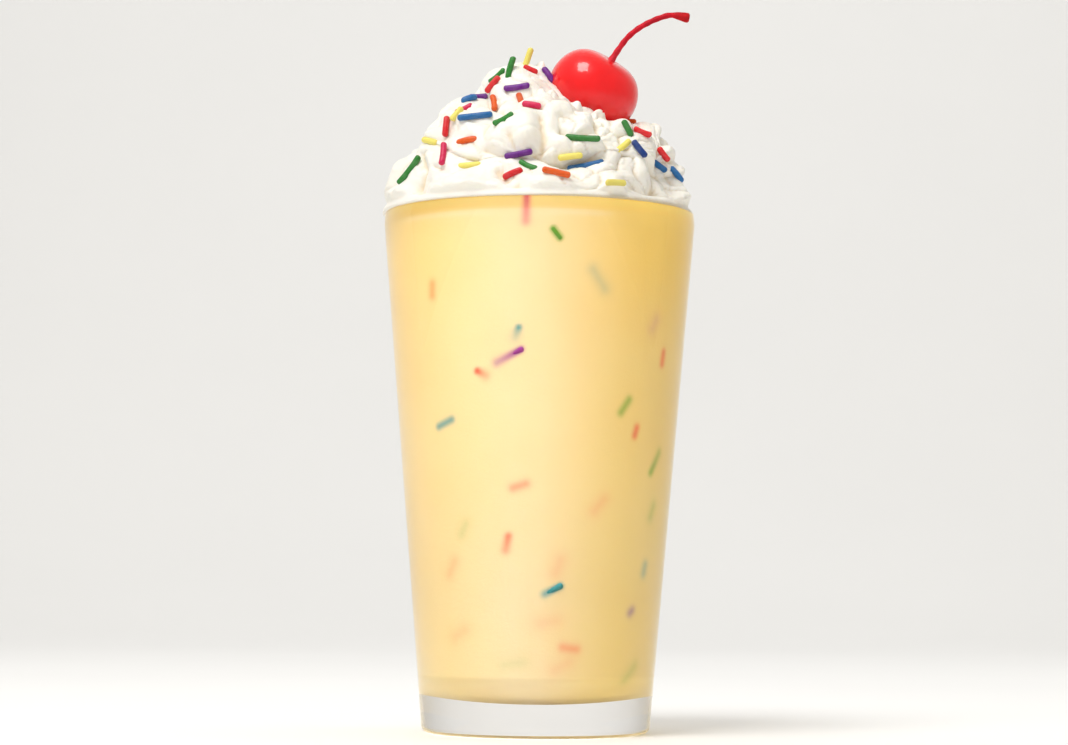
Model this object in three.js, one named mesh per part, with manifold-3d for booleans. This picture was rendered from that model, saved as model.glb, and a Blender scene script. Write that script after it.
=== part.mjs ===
// A milkshake in a heavy tapered tumbler: the shake fills the tumbler to its rim, a piped mound of
// whipped cream with rainbow sprinkles stands on it, and a cherry with its stem sits in the cream.
// Millimetres, +Z up, origin at the centre of the foot, front of the drink towards -Y.
import * as THREE from "three";
import { ParametricGeometry } from "three/addons/geometries/ParametricGeometry.js";
import { mergeVertices } from "three/addons/utils/BufferGeometryUtils.js";
import Module from "manifold-3d";

const wasm = await Module();
wasm.setup();

// Clearance that keeps touching pieces apart.
const GAP = 0.3;

// The tumbler's inside ends in a shallow bowl over its heavy foot.
const TUMBLER = {
  height: 149,
  rimRadius: 45,
  footRadius: 32.3,
  footRound: 2.2,
  rimWall: 2.4,
  footWall: 3.4,
  floor: 9.5,
  bowlDepth: 7.5,
  recessRadius: 24,
  recessDepth: 1,
  segments: 56,
};

// The drink stands just under the rim.
const SHAKE = { level: 148, segments: 48 };

// The plain mound of cream under its folds: radius and height above the rim, from the rim to the peak.
const MOUND = {
  outline: [
    [44.4, 0.3],
    [42.8, 3],
    [40.2, 8],
    [37.4, 14],
    [33.6, 19.5],
    [28.4, 25],
    [22.6, 30],
    [16.4, 34.5],
    [11, 39],
    [6, 42.4],
    [0, 44],
  ],
  peakAcross: -4.8,
  edgeInset: 1.6,
  around: 76,
  up: 32,
};

// Folds of the cream. It is piped clockwise from the right of the rim, and each turn sags over the
// one below. The rest are soft folds of two sizes, deeper where the nozzle left its marks.
const FOLDS = {
  firstGroove: 8,
  turnHeight: 18,
  turnDepth: 4.2,
  turnSag: 2,
  grooveWander: 0.11,
  grooveFill: 0.38,
  broadSize: 3.4,
  broadDepth: 1.2,
  fineSize: 1.5,
  leftFineDepth: 0.25,
  rightFineDepth: 0.55,
  fadeHeight: 4,
};

// Single lumps of the cream: place above the rim, radius and height out of the mound.
const LUMPS = [
  { across: 30.5, back: -3, up: 23.4, radius: 7.5, out: 6 },
  { across: 39, back: -4, up: 11, radius: 5, out: 3.4 },
  { across: 24, back: -21, up: 17, radius: 7, out: 2 },
  { across: 10, back: -25, up: 23, radius: 6, out: 2 },
  { across: -4, back: -27, up: 22, radius: 7, out: 2.4 },
  { across: -22, back: -24, up: 16, radius: 8, out: 1.6 },
  { across: -36, back: -14, up: 9, radius: 8, out: 1.4 },
];

// The cherry has pressed the cream down around it.
const PRESS = { across: 17, back: -5, radius: 11, depth: 7.5, from: 12, to: 24 };

// A round cherry, flattened around the stem, with a cavity for the stem and a navel under it. It tilts
// to the right and nods towards the front.
const CHERRY = {
  across: 15.3,
  back: -1.5,
  height: 184.4,
  tilt: 31,
  nod: 14,
  radius: 13.2,
  flatDepth: 3,
  flatRadius: 9.2,
  cavityDepth: 0.5,
  cavityRadius: 2.2,
  navelDepth: 0.9,
  navelRadius: 3,
  segments: 26,
  rows: 16,
};

// Points of the stem's middle line, across, back and up.
const STEM = {
  line: [
    [20.5, -4, 193],
    [22.4, -4.4, 195.9],
    [24.8, -4.6, 199.1],
    [27.7, -4.5, 201.7],
    [31, -4.4, 203.7],
    [34.4, -4.2, 205.2],
    [37.8, -4, 206],
    [42.7, -3.6, 205.2],
  ],
  radius: 0.8,
  footFlare: 0.35,
  knobRadius: 1.35,
  knobLength: 5,
  around: 8,
  along: 18,
};

const SPRINKLE = { radius: 1, blunt: 0.4, sides: 5, proud: 0.25, lie: 0.88 };

// The sprinkles of the front as they are seen from the viewpoint: across from the axis, up from the
// rim, turn from level and length. The first two stand up out of the cream.
const VIEWPOINT = new THREE.Vector3(0, -787, 44);
const STANDING = 2;
const FRONT_SPRINKLES = [
  [-4.3, 43, 72, 9.6],
  [-8.6, 41.6, 76, 7],
  [-12.4, 39.4, 25, 6],
  [-13.6, 36.9, 40, 6],
  [-3.1, 41.2, -35, 4.5],
  [-6.9, 36.3, 6, 7.5],
  [2, 39.6, -80, 6],
  [-13.4, 31.6, -58, 6],
  [-6, 32.6, -85, 5],
  [-2.6, 30.9, -15, 5.5],
  [-18, 33.2, 3, 5.5],
  [-20.6, 32.4, 50, 5],
  [-22, 29.6, 35, 5.5],
  [-24, 28.2, 60, 5],
  [-18.9, 27.6, 4, 10],
  [-10.6, 26.9, 2, 6.5],
  [-27, 24.6, -78, 6.5],
  [-31.6, 20.3, -20, 6],
  [-28, 16.6, -80, 7.5],
  [-20.9, 20.3, 2, 6.5],
  [-37.6, 11.8, 50, 10],
  [-20.3, 13.2, 0, 6.5],
  [-6.3, 16.9, 12, 8],
  [-3.4, 13.4, -45, 6],
  [-7.7, 10.9, 12, 6],
  [4.6, 11.4, -10, 8],
  [13.2, 13.4, 14, 10.5],
  [8.6, 16.4, 4, 7],
  [12.3, 21.5, -15, 10],
  [23.7, 19.2, 45, 6.5],
  [25, 24.4, -70, 5.5],
  [29.4, 23.4, -5, 5.5],
  [28.6, 18.6, -52, 6],
  [35.4, 17, -40, 5],
  [34.2, 13.6, -12, 5.5],
  [39, 11.2, -30, 6],
  [21.7, 8.6, 3, 6],
];

// The back half has as many more, spread evenly by steps that never fall into rows.
const BACK_SPRINKLES = {
  count: 30,
  aimHeight: 6,
  lowest: 0.1,
  highest: 0.95,
  shortest: 5.5,
  longest: 9.5,
  roundStep: 0.7549,
  upStep: 0.5698,
  turnStep: 0.618,
  lengthStep: 0.382,
};

const TAU = 2 * Math.PI;
const radians = THREE.MathUtils.degToRad;

// Joins the seams of a geometry and makes it a solid that faces out.
function solid(geometry) {
  const bare = geometry.clone();
  bare.deleteAttribute("normal");
  bare.deleteAttribute("uv");
  const merged = mergeVertices(bare, 1e-3);
  const triVerts = new Uint32Array(merged.index.array);
  return new wasm.Manifold(
    new wasm.Mesh({ numProp: 3, vertProperties: merged.attributes.position.array, triVerts }),
  );
}

function geometryOf(body) {
  const mesh = body.getMesh();
  return new THREE.BufferGeometry()
    .setAttribute("position", new THREE.BufferAttribute(mesh.vertProperties, 3))
    .setIndex(new THREE.BufferAttribute(mesh.triVerts, 1));
}

// Turns a profile of radius and height, from the axis back to the axis, about +Z.
function turned(profile, segments) {
  return new THREE.LatheGeometry(profile, segments).rotateX(Math.PI / 2);
}

function outerRadiusAt(z) {
  return THREE.MathUtils.mapLinear(z, 0, TUMBLER.height, TUMBLER.footRadius, TUMBLER.rimRadius);
}

function innerRadiusAt(z) {
  const { floor, height, footWall, rimWall } = TUMBLER;
  return outerRadiusAt(z) - THREE.MathUtils.mapLinear(z, floor, height, footWall, rimWall);
}

function tumblerGeometry() {
  const { height, rimRadius, footRound, rimWall, floor, bowlDepth } = TUMBLER;
  const { recessRadius, recessDepth, segments } = TUMBLER;
  const lip = rimWall / 2;
  const heel = outerRadiusAt(footRound) - footRound;
  const brim = floor + bowlDepth;
  const path = new THREE.Path();
  path.moveTo(0, recessDepth);
  path.lineTo(recessRadius - recessDepth, recessDepth);
  path.lineTo(recessRadius, 0);
  path.lineTo(heel, 0);
  path.absarc(heel, footRound, footRound, -Math.PI / 2, 0, false);
  path.lineTo(rimRadius, height - lip);
  path.absarc(rimRadius - lip, height - lip, lip, 0, Math.PI, false);
  path.lineTo(innerRadiusAt(brim), brim);
  path.absellipse(0, brim, innerRadiusAt(brim), bowlDepth, 0, -Math.PI / 2, true);
  return turned(path.getPoints(2), segments);
}

function shakeGeometry() {
  const { floor, bowlDepth } = TUMBLER;
  const brim = floor + bowlDepth;
  const path = new THREE.Path();
  path.absellipse(0, brim + GAP, innerRadiusAt(brim) - GAP, bowlDepth, -Math.PI / 2, 0, false);
  path.lineTo(innerRadiusAt(SHAKE.level) - GAP, SHAKE.level);
  path.lineTo(0, SHAKE.level);
  return turned(path.getPoints(2), SHAKE.segments);
}

// Smooth folds that wind through space, between about -1.5 and 1.5.
function windingFolds(place, size) {
  const { x, y, z } = place.clone().divideScalar(size);
  return Math.sin(x) * Math.cos(y) + Math.sin(y) * Math.cos(z) + Math.sin(z) * Math.cos(x);
}

// A point of the plain mound, its normal and the way down its slope.
function moundFrame(curve, share, around) {
  const { peakAcross, edgeInset } = MOUND;
  const [radius, height] = curve.getPointAt(share).toArray();
  const [outSlope, upSlope] = curve.getTangentAt(share).toArray();
  const out = new THREE.Vector3(Math.cos(around), Math.sin(around), 0);
  const rise = height / MOUND.outline.at(-1)[1];
  const inset = (edgeInset * (1 - rise) * (1 + Math.cos(around))) / 2;
  const place = new THREE.Vector3(peakAcross * rise * rise, 0, height);
  place.addScaledVector(out, Math.max(0, radius - inset));
  const normal = out.clone().multiplyScalar(upSlope).setZ(-outSlope);
  const down = out.clone().multiplyScalar(-outSlope).setZ(-upSlope);
  return { place, normal, down };
}

// How far the single lumps lift a place out of the mound.
function lumpsAt(place) {
  return LUMPS.reduce((lift, { across, back, up, radius, out }) => {
    const away = place.distanceTo(new THREE.Vector3(across, back, up)) / radius;
    return lift + out * Math.exp(-away * away);
  }, 0);
}

// How far the cream stands out from the plain mound, and how far it sags.
function foldsAt(place, around) {
  const { lerp, smoothstep, euclideanModulo } = THREE.MathUtils;
  const turn = euclideanModulo(-around / TAU, 1);
  const wander = FOLDS.grooveWander * (Math.sin(3 * around + 1) + 0.6 * Math.sin(8 * around));
  const lap = (place.z - FOLDS.firstGroove) / FOLDS.turnHeight - turn + wander;
  const roll = Math.sqrt(Math.abs(Math.sin(Math.PI * lap)));
  const filled = FOLDS.grooveFill * (1 + Math.cos(5 * around + place.z / FOLDS.broadSize));
  const right = (1 + Math.cos(around)) / 2;
  const fineDepth = lerp(FOLDS.leftFineDepth, FOLDS.rightFineDepth, right);
  const broad = FOLDS.broadDepth * windingFolds(place, FOLDS.broadSize);
  const fine = fineDepth * windingFolds(place, FOLDS.fineSize);
  const fade = smoothstep(place.z, 0, FOLDS.fadeHeight);
  const rolled = FOLDS.turnDepth * (1 - filled) * (roll - 0.8);
  return { out: fade * (rolled + broad + fine + lumpsAt(place)), sag: fade * FOLDS.turnSag * roll };
}

// Depth to which the cherry has pressed a place down.
function pressAt(place) {
  const { across, back, radius, depth, from, to } = PRESS;
  const away = Math.hypot(place.x - across, place.y - back) / radius;
  return depth * Math.exp(-away * away) * THREE.MathUtils.smoothstep(place.z, from, to);
}

// The mound with its folds, closed by a flat underside just above the rim.
function moundGeometry() {
  const curve = new THREE.SplineCurve(MOUND.outline.map(([r, z]) => new THREE.Vector2(r, z)));
  const rows = MOUND.up + 1;
  const point = (u, v, target) => {
    const row = Math.round(v * rows);
    const share = Math.max(0, (row - 1) / MOUND.up);
    const around = TAU * u;
    const { place, normal, down } = moundFrame(curve, share, around);
    const { out, sag } = foldsAt(place, around);
    const pole = row === 0 || row === rows;
    target.copy(place).addScaledVector(normal, out).addScaledVector(down, sag);
    target.z += TUMBLER.height - pressAt(target);
    if (pole) {
      const height = row === 0 ? place.z : MOUND.outline.at(-1)[1];
      target.set(row === 0 ? 0 : MOUND.peakAcross, 0, TUMBLER.height + height);
    }
  };
  return new ParametricGeometry(point, MOUND.around, rows);
}

// The cream that fills the mouth of the tumbler, up into the mound.
function plugGeometry() {
  const radius = innerRadiusAt(SHAKE.level) - GAP;
  const profile = [
    new THREE.Vector2(0, SHAKE.level + GAP),
    new THREE.Vector2(radius, SHAKE.level + GAP),
    new THREE.Vector2(radius, TUMBLER.height + 2 * GAP),
    new THREE.Vector2(0, TUMBLER.height + 2 * GAP),
  ];
  return turned(profile, SHAKE.segments);
}

// What the cream may fill: a plug in the mouth of the tumbler and everything above its rim.
function creamRoomGeometry() {
  const plug = innerRadiusAt(SHAKE.level) - GAP;
  const overhang = TUMBLER.rimRadius - GAP;
  const headroom = TUMBLER.height * 1.5;
  const profile = [
    new THREE.Vector2(0, SHAKE.level + GAP),
    new THREE.Vector2(plug, SHAKE.level + GAP),
    new THREE.Vector2(plug, TUMBLER.height + GAP),
    new THREE.Vector2(overhang, TUMBLER.height + GAP),
    new THREE.Vector2(overhang, headroom),
    new THREE.Vector2(0, headroom),
  ];
  return turned(profile, 2 * SHAKE.segments);
}

// A dent around the axis, as deep as stated in its middle.
function dent(reach, depth, radius) {
  return depth * Math.exp(-((reach / radius) ** 2));
}

// The cherry, grown by a margin all round.
function cherryGeometry(margin) {
  const { across, back, height, tilt, nod, radius, segments, rows } = CHERRY;
  const { flatDepth, flatRadius, cavityDepth, cavityRadius, navelDepth, navelRadius } = CHERRY;
  const profile = [];
  for (let row = 0; row <= rows; row += 1) {
    const rise = Math.PI * (row / rows - 0.5);
    const reach = row % rows === 0 ? 0 : (radius + margin) * Math.cos(rise);
    const stemEnd = dent(reach, flatDepth, flatRadius) + dent(reach, cavityDepth, cavityRadius);
    const press = rise > 0 ? -stemEnd : dent(reach, navelDepth, navelRadius);
    profile.push(new THREE.Vector2(reach, (radius + margin) * Math.sin(rise) + press));
  }
  const fruit = turned(profile, segments).rotateX(radians(nod)).rotateY(radians(tilt));
  return fruit.translate(across, back, height);
}

function stemGeometry() {
  const { line, radius, footFlare, knobRadius, knobLength, around, along } = STEM;
  const curve = new THREE.CatmullRomCurve3(line.map((place) => new THREE.Vector3(...place)));
  const length = curve.getLength();
  const rows = along + 2;
  const frames = curve.computeFrenetFrames(along, false);
  const point = (u, v, target) => {
    const row = Math.round(v * rows);
    const step = THREE.MathUtils.clamp(row - 1, 0, along);
    const fromFoot = (step / along) * length;
    const fromTip = length - fromFoot;
    const flare = footFlare * Math.exp(-fromFoot / 2);
    const knob = THREE.MathUtils.smoothstep(knobLength - fromTip, 0, knobLength * 0.7);
    const closed = row === 0 || row === rows ? 0 : 1;
    const reach = closed * (THREE.MathUtils.lerp(radius, knobRadius, knob) + flare);
    curve.getPointAt(step / along, target);
    target.addScaledVector(frames.normals[step], reach * Math.cos(TAU * u));
    target.addScaledVector(frames.binormals[step], reach * Math.sin(TAU * u));
  };
  return new ParametricGeometry(point, around, rows);
}

function sprinkleGeometry(length) {
  const { radius, blunt, sides } = SPRINKLE;
  const half = length / 2;
  const shoulder = half - blunt * radius;
  const profile = [
    new THREE.Vector2(0, -half),
    new THREE.Vector2(radius, -shoulder),
    new THREE.Vector2(radius, shoulder),
    new THREE.Vector2(0, half),
  ];
  return turned(profile, sides);
}

// Lays a sprinkle on the cream where a ray meets it, along a heading that is pressed into the face.
function sprinkleOnRay(cream, from, towards, headingOf, length, lie) {
  const ray = new THREE.Raycaster(from, towards.clone().sub(from).normalize());
  const [hit] = ray.intersectObject(cream);
  if (!hit) {
    return null;
  }
  const normal = hit.face.normal;
  const heading = headingOf(normal).addScaledVector(normal, -lie * headingOf(normal).dot(normal));
  const turn = new THREE.Quaternion();
  turn.setFromUnitVectors(new THREE.Vector3(0, 0, 1), heading.normalize());
  const place = hit.point.clone().addScaledVector(normal, SPRINKLE.proud * SPRINKLE.radius);
  const matrix = new THREE.Matrix4().compose(place, turn, new THREE.Vector3(1, 1, 1));
  return sprinkleGeometry(length).applyMatrix4(matrix);
}

function frontSprinkles(cream) {
  return FRONT_SPRINKLES.map(([across, up, turn, length], index) => {
    const seen = new THREE.Vector3(across, 0, TUMBLER.height + up);
    const slope = radians(turn);
    const headingOf = () => new THREE.Vector3(Math.cos(slope), 0, Math.sin(slope));
    const lie = index < STANDING ? 0 : SPRINKLE.lie;
    return sprinkleOnRay(cream, VIEWPOINT, seen, headingOf, length, lie);
  });
}

// Fraction of a step sequence, which spreads its values evenly between 0 and 1.
function spread(index, step) {
  return (0.5 + index * step) % 1;
}

function backSprinkles(cream) {
  const { count, aimHeight, lowest, highest, shortest, longest } = BACK_SPRINKLES;
  const { roundStep, upStep, turnStep, lengthStep } = BACK_SPRINKLES;
  const aim = new THREE.Vector3(0, 0, TUMBLER.height + aimHeight);
  const laid = [];
  for (let index = 0; index < count; index += 1) {
    const around = Math.PI * spread(index, roundStep);
    const rise = THREE.MathUtils.lerp(lowest, highest, spread(index, upStep));
    const level = Math.sqrt(1 - rise * rise);
    const out = new THREE.Vector3(level * Math.cos(around), level * Math.sin(around), rise);
    const turn = TAU * spread(index, turnStep);
    const headingOf = (normal) =>
      new THREE.Vector3(-Math.sin(around), Math.cos(around), 0).applyAxisAngle(normal, turn);
    const length = THREE.MathUtils.lerp(shortest, longest, spread(index, lengthStep));
    const from = aim.clone().addScaledVector(out, 2 * TUMBLER.height);
    laid.push(sprinkleOnRay(cream, from, aim, headingOf, length, SPRINKLE.lie));
  }
  return laid;
}

function creamGeometry() {
  const room = solid(creamRoomGeometry());
  const nest = solid(cherryGeometry(GAP));
  const bare = solid(moundGeometry()).add(solid(plugGeometry())).subtract(nest);
  const cream = new THREE.Mesh(geometryOf(bare));
  const sprinkles = [...frontSprinkles(cream), ...backSprinkles(cream)].filter(Boolean).map(solid);
  const dressed = wasm.Manifold.union([bare, ...sprinkles]).intersect(room).subtract(nest);
  const [largest] = dressed.decompose().sort((a, b) => b.volume() - a.volume());
  return geometryOf(largest);
}

function node(name, geometry, finish) {
  const mesh = new THREE.Mesh(geometry, new THREE.MeshStandardMaterial(finish));
  mesh.name = name;
  return mesh;
}

const milkshake = new THREE.Group();
milkshake.name = "milkshake";
milkshake.add(
  node("tumbler", tumblerGeometry(), {
    color: 0xe6efee,
    roughness: 0.05,
    transparent: true,
    opacity: 0.35,
  }),
  node("shake", shakeGeometry(), { color: 0xf6dfa6, roughness: 0.5 }),
  node("whipped_cream", creamGeometry(), { color: 0xfbf6ea, roughness: 0.6 }),
  node("cherry", cherryGeometry(0), { color: 0xd4202a, roughness: 0.2 }),
  node("cherry_stem", stemGeometry(), { color: 0x9c2630, roughness: 0.4 }),
);

export default milkshake;
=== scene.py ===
"""A vanilla milkshake in a tall tumbler, with whipped cream, rainbow sprinkles and a cherry."""

import logging
import math
from dataclasses import dataclass, field, replace
from enum import Enum
from typing import ClassVar

import bpy
import numpy as np
from bpy.types import Material, Node, NodeSocket, NodeTree, Object
from mathutils import Matrix, Vector
from mathutils.bvhtree import BVHTree


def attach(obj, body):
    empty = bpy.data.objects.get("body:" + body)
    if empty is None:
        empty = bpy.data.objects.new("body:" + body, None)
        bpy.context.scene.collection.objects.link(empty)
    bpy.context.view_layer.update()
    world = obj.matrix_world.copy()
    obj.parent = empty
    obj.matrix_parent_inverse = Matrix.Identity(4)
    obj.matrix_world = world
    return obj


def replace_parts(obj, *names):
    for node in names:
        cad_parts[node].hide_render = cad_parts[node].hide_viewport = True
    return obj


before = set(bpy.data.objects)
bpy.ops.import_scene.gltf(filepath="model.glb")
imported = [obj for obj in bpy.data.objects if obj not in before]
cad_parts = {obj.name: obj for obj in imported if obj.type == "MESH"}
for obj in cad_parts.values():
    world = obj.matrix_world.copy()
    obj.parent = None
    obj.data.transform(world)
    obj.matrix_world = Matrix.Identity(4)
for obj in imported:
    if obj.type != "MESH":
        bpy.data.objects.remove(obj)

LOG = logging.getLogger("milkshake")
MM = 0.001
TAU = math.tau
QUARTER = math.pi / 2
TINY = 1e-9
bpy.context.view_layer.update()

# The eye that every place in the view is measured from, in millimetres.
EYE = np.array([0.0, -787.0, 44.0])

# Steps of even spreads that don't fall into line with one another.
AROUND_STEP = 0.7549
RISE_STEP = 0.5698
TURN_STEP = 0.618
LENGTH_STEP = 0.382
DEPTH_STEP = 0.29

Triple = tuple[float, float, float]
Colour = Triple
Place = Triple
Span = tuple[float, float]
Sockets = dict[str, object]
Array = np.ndarray


def linear(red: int, green: int, blue: int) -> Colour:
    """Turns a display colour, 0 to 255, into scene light."""
    shares = (value / 255 for value in (red, green, blue))
    return tuple(s / 12.92 if s <= 0.04045 else ((s + 0.055) / 1.055) ** 2.4 for s in shares)


class Tint(Enum):
    """Colours that the sprinkles are made in."""

    YELLOW = linear(255, 240, 120)
    RED = linear(238, 36, 44)
    ORANGE = linear(238, 98, 26)
    PURPLE = linear(120, 34, 152)
    BLUE = linear(36, 116, 184)
    NAVY = linear(30, 70, 150)
    GREEN = linear(50, 140, 52)
    MAGENTA = linear(232, 28, 92)
    TEAL = linear(0, 152, 164)
    ROSE = linear(240, 76, 62)
    LEAF = linear(98, 168, 30)
    VIOLET = linear(164, 44, 160)
    PINK = linear(240, 36, 124)


# The tints that follow one another on the sprinkles out of view.
BACK_TINTS = (
    Tint.YELLOW, Tint.RED, Tint.ORANGE, Tint.PURPLE, Tint.BLUE, Tint.NAVY, Tint.GREEN, Tint.MAGENTA,
)


@dataclass
class Shell:
    """Points and faces of one mesh.

    Attributes:
        points: Places in millimetres, one row each.
        faces: Corner numbers of each face.
    """

    points: Array
    faces: list[list[int]]


def skin(rings: Array, start: Array, end: Array) -> Shell:
    """Joins rings into a closed skin.

    Args:
        rings: Rings of points, as rows by columns by three.
        start: The point that closes the first ring.
        end: The point that closes the last ring.

    Returns:
        The closed skin.
    """
    rows, columns, _ = rings.shape
    index = np.arange(rows * columns).reshape(rows, columns)
    onward = np.roll(index, -1, axis=1)
    quads = np.stack([index[:-1], onward[:-1], onward[1:], index[1:]], axis=-1).reshape(-1, 4)
    poles = np.full((2, columns), [[rows * columns], [rows * columns + 1]])
    first = np.stack([poles[0], onward[0], index[0]], axis=-1)
    last = np.stack([poles[1], index[-1], onward[-1]], axis=-1)
    points = np.vstack([rings.reshape(-1, 3), start, end])
    return Shell(points, [*quads.tolist(), *first.tolist(), *last.tolist()])


def lathe(profile: Array, segments: int) -> Shell:
    """Turns a profile about the upright axis.

    Args:
        profile: Radius and height of each point, from the axis back to the axis.
        segments: Number of steps around.

    Returns:
        The turned skin.
    """
    around = np.linspace(0, TAU, segments, endpoint=False)
    radius, height = profile[1:-1, :1], profile[1:-1, 1:]
    rings = np.stack([radius * np.cos(around), radius * np.sin(around), height + 0 * around], axis=-1)
    return skin(rings, [0, 0, profile[0, 1]], [0, 0, profile[-1, 1]])


def arc(middle: Span, reach: Span, turns: Array) -> Array:
    """Gives a profile's points at the given turns of an ellipse with a middle and a reach."""
    return np.stack([middle[0] + reach[0] * np.cos(turns), middle[1] + reach[1] * np.sin(turns)], axis=-1)


def joined(shells: list[Shell]) -> Shell:
    """Joins several meshes into one.

    Args:
        shells: The meshes to join.

    Returns:
        One mesh that holds them all.
    """
    faces: list[list[int]] = []
    count = 0
    for shell in shells:
        faces += [[corner + count for corner in face] for face in shell.faces]
        count += len(shell.points)
    return Shell(np.vstack([shell.points for shell in shells]), faces)


def unit(arrows: Array) -> Array:
    """Gives arrows of length one."""
    return arrows / np.linalg.norm(arrows, axis=-1, keepdims=True)


def mixed(low: Colour | Array, high: Colour | Array, share: Array) -> Array:
    """Mixes two colours by the share of the second."""
    return np.array(low) * (1 - share) + np.array(high) * share


def bell(away: Array, size: float, power: float = 2) -> Array:
    """Gives a soft peak that falls off with the distance."""
    return np.exp(-((away / size) ** power))


def smoothstep(values: Array, low: float, high: float) -> Array:
    """Eases from 0 to 1 between two values."""
    share = np.clip((values - low) / (high - low), 0, 1)
    return share * share * (3 - 2 * share)


def winding(places: Array, size: float) -> Array:
    """Gives soft folds of a size that wind through space, from about -1.5 to 1.5."""
    x, y, z = np.moveaxis(places / size, -1, 0)
    return np.sin(x) * np.cos(y) + np.sin(y) * np.cos(z) + np.sin(z) * np.cos(x)


def spread(number: int, step: float, low: float, high: float) -> float:
    """Gives the number's place in an even spread from low to high."""
    return low + (high - low) * ((0.5 + number * step) % 1)


def aimed(spot: Place, aim: Place, roll: float) -> Matrix:
    """Places something that faces a point.

    Args:
        spot: Where it stands.
        aim: What it faces.
        roll: Its turn about its own axis, in degrees.

    Returns:
        Its place and turn.
    """
    facing = (Vector(aim) - Vector(spot)).to_track_quat("-Z", "Y").to_matrix()
    turned = facing @ Matrix.Rotation(math.radians(roll), 3, "Z")
    return Matrix.Translation(spot) @ turned.to_4x4()


@dataclass(frozen=True)
class CurveLine:
    """A smooth line through points, measured along its length.

    Attributes:
        points: The points that the line runs through.
        fine: Number of short steps that the line is measured in.
    """

    points: tuple[tuple[float, ...], ...]
    fine: int = 4000

    def at(self, shares: Array) -> tuple[Array, Array]:
        """Finds places on the line.

        Args:
            shares: Shares of the line's length, from 0 to 1.

        Returns:
            The places, and the line's direction at each.
        """
        knots = np.array(self.points)
        last = len(knots) - 1
        along = np.linspace(0, last, self.fine)
        step = np.minimum(along.astype(int), last - 1)
        t = (along - step)[:, None]
        before, here = knots[np.maximum(step - 1, 0)], knots[step]
        there, after = knots[step + 1], knots[np.minimum(step + 2, last)]
        leave, arrive = (there - before) / 2, (after - here) / 2
        line = (
            (2 * here - 2 * there + leave + arrive) * t**3
            + (3 * there - 3 * here - 2 * leave - arrive) * t**2
            + leave * t
            + here
        )
        length = np.insert(np.cumsum(np.linalg.norm(np.diff(line, axis=0), axis=1)), 0, 0)
        length /= length[-1]
        slope = unit(np.gradient(line, length, axis=0))
        places = [np.interp(shares, length, column) for column in line.T]
        headings = [np.interp(shares, length, column) for column in slope.T]
        return np.stack(places, axis=-1), np.stack(headings, axis=-1)


@dataclass(frozen=True)
class Wiring:
    """Adds nodes to a node tree and joins their sockets.

    Attributes:
        tree: The node tree.
    """

    tree: NodeTree

    def add(self, kind: str, inputs: dict | None = None, **settings: object) -> Node:
        """Adds one node.

        Args:
            kind: Blender's name for the node, after "ShaderNode" where that is its start.
            inputs: A value or an output socket for each input, by its name or number.
            **settings: The node's own settings.

        Returns:
            The node.
        """
        node = self.tree.nodes.new(kind if kind.startswith("NodeGroup") else f"ShaderNode{kind}")
        for name, value in settings.items():
            setattr(node, name, value)
        self.feed(node, inputs or {})
        return node

    def feed(self, node: Node, inputs: dict) -> None:
        """Sets or joins a node's inputs.

        Args:
            node: The node.
            inputs: A value or an output socket for each input, by its name or number.
        """
        for key, value in inputs.items():
            if isinstance(value, NodeSocket):
                self.tree.links.new(value, node.inputs[key])
            else:
                node.inputs[key].default_value = value

    def group(self, tree: NodeTree, inputs: dict) -> NodeSocket:
        """Places a node group and gives its output."""
        return self.add("Group", inputs, node_tree=tree).outputs[0]

    def blend(self, share: NodeSocket, low: NodeSocket, high: NodeSocket | tuple) -> NodeSocket:
        """Blends two colours by the share of the second."""
        return self.add("Mix", {0: share, 6: low, 7: high}, data_type="RGBA").outputs[2]

    def remap(self, value: NodeSocket, source: Span, target: Span) -> NodeSocket:
        """Maps a value from one range to another.

        Args:
            value: The value.
            source: Low and high end that the value has.
            target: Low and high end that it gets.

        Returns:
            The mapped value.
        """
        ends = {"From Min": source[0], "From Max": source[1]}
        ends |= {"To Min": target[0], "To Max": target[1]}
        return self.add("MapRange", {"Value": value} | ends).outputs[0]


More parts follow.
